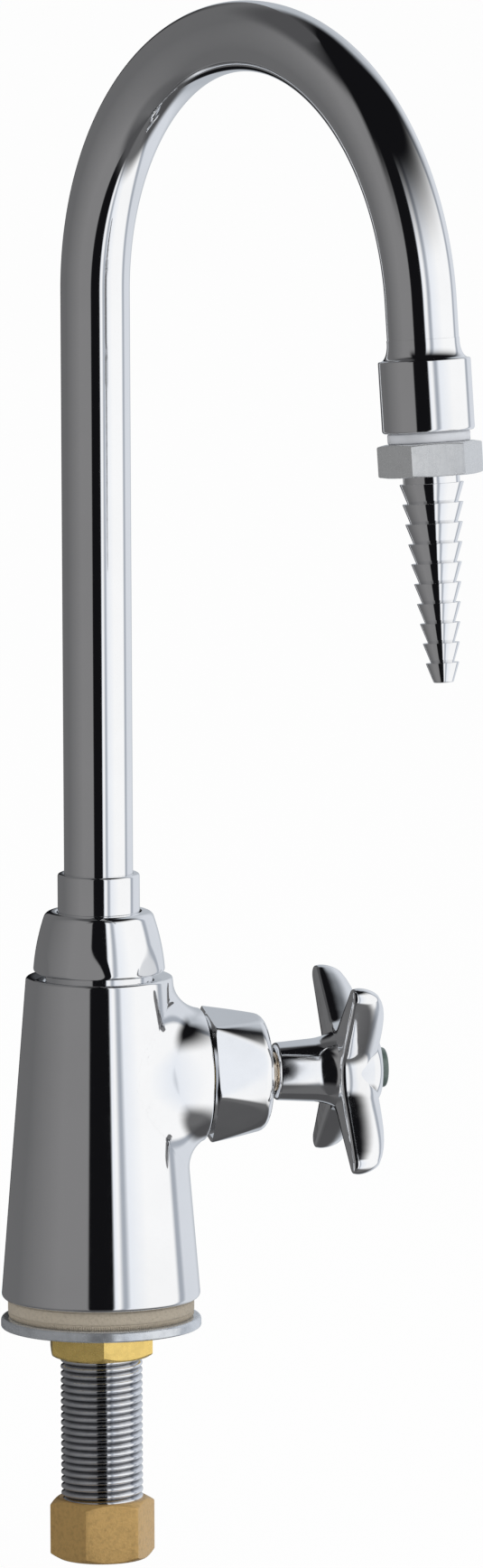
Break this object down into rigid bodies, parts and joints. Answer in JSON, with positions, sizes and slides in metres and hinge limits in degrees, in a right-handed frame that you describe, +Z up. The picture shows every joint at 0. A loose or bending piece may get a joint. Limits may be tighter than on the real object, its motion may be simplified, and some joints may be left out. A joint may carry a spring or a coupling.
{
  "type": "laboratory gooseneck tap",
  "caption": "Deck-mounted laboratory tap with a swivelling gooseneck spout, a serrated hose nozzle, a side valve with a cross handle, and a threaded shank with washer and nuts.",
  "frame": {"origin": "on the shank's axis in the deck plane, at the underside of the base gasket", "axes": "+Z up along the shank and the body, +X along the valve axis towards the handle"},
  "size_m": [0.0998, 0.1636, 0.3998],
  "materials": {
    "chrome": "polished",
    "plated_shank": "bright",
    "brass": "machined",
    "dull_brass": "satin",
    "zinc_steel": "zinc plated",
    "fibre": "matt",
    "white_nylon": "translucent",
    "black_rubber": "matt",
    "button": "gloss"
  },
  "bodies": {
    "pillar": {"tap_body": "chrome", "inlet_shank": "plated_shank", "base_gasket": "fibre", "valve_seat": "brass", "cartridge_sleeve": "brass", "cartridge_gasket": "fibre", "spindle_thrust_washer": "white_nylon", "retaining_ring": "zinc_steel", "bonnet_nut": "chrome", "spout_thrust_washer": "white_nylon", "spout_nut": "chrome"},
    "spout": {"spout_ferrule": "chrome", "spout_o_rings": "black_rubber", "gooseneck_tube": "chrome", "outlet_socket": "chrome", "nozzle_washer": "white_nylon", "serrated_nozzle": "chrome"},
    "handle": {"valve_spindle": "brass", "spindle_o_rings": "black_rubber", "cross_handle": "chrome", "handle_screw": "zinc_steel", "index_button": "button"},
    "plunger": {"washer_carrier": "brass", "seat_washer": "black_rubber", "seat_washer_screw": "brass"},
    "clamp": {"clamp_washer": "zinc_steel"},
    "lock_nut": {"lock_nut": "brass"},
    "riser_seal": {"riser_washer": "black_rubber"},
    "coupling_nut": {"coupling_nut": "dull_brass"}
  },
  "joints": [
    {"name": "spout_swing", "type": "hinge", "parent": "pillar", "child": "spout", "pos_m": [0, 0, 0.0876], "axis": [0, 0, 1], "continuous": true},
    {"name": "handle_turn", "type": "hinge", "parent": "pillar", "child": "handle", "pos_m": [0.0452, 0, 0.061], "axis": [1, 0, 0], "range_deg": [0, 540]},
    {"name": "plunger_lift", "type": "slide", "parent": "pillar", "child": "plunger", "axis": [1, 0, 0], "range_m": [0, 0.003]},
    {"name": "washer_drop", "type": "slide", "parent": "pillar", "child": "clamp", "axis": [0, 0, -1], "range_m": [0, 0.0347]},
    {"name": "lock_nut_turn", "type": "hinge", "parent": "clamp", "child": "lock_nut", "pos_m": [0, 0, -0.0065], "axis": [0, 0, -1], "range_deg": [0, 6900]},
    {"name": "riser_washer_drop", "type": "slide", "parent": "pillar", "child": "riser_seal", "axis": [0, 0, -1], "range_m": [0, 0.0081]},
    {"name": "coupling_nut_turn", "type": "hinge", "parent": "riser_seal", "child": "coupling_nut", "pos_m": [0, 0, -0.0547], "axis": [0, 0, -1], "range_deg": [0, 1620]}
  ],
  "couplings": [
    {"joint": "plunger_lift", "follows": "handle_turn", "m_per_rad": 0.0003183},
    {"joint": "lock_nut_turn", "follows": "washer_drop", "rad_per_m": 3463.2},
    {"joint": "coupling_nut_turn", "follows": "riser_washer_drop", "rad_per_m": 3463.2}
  ]
}
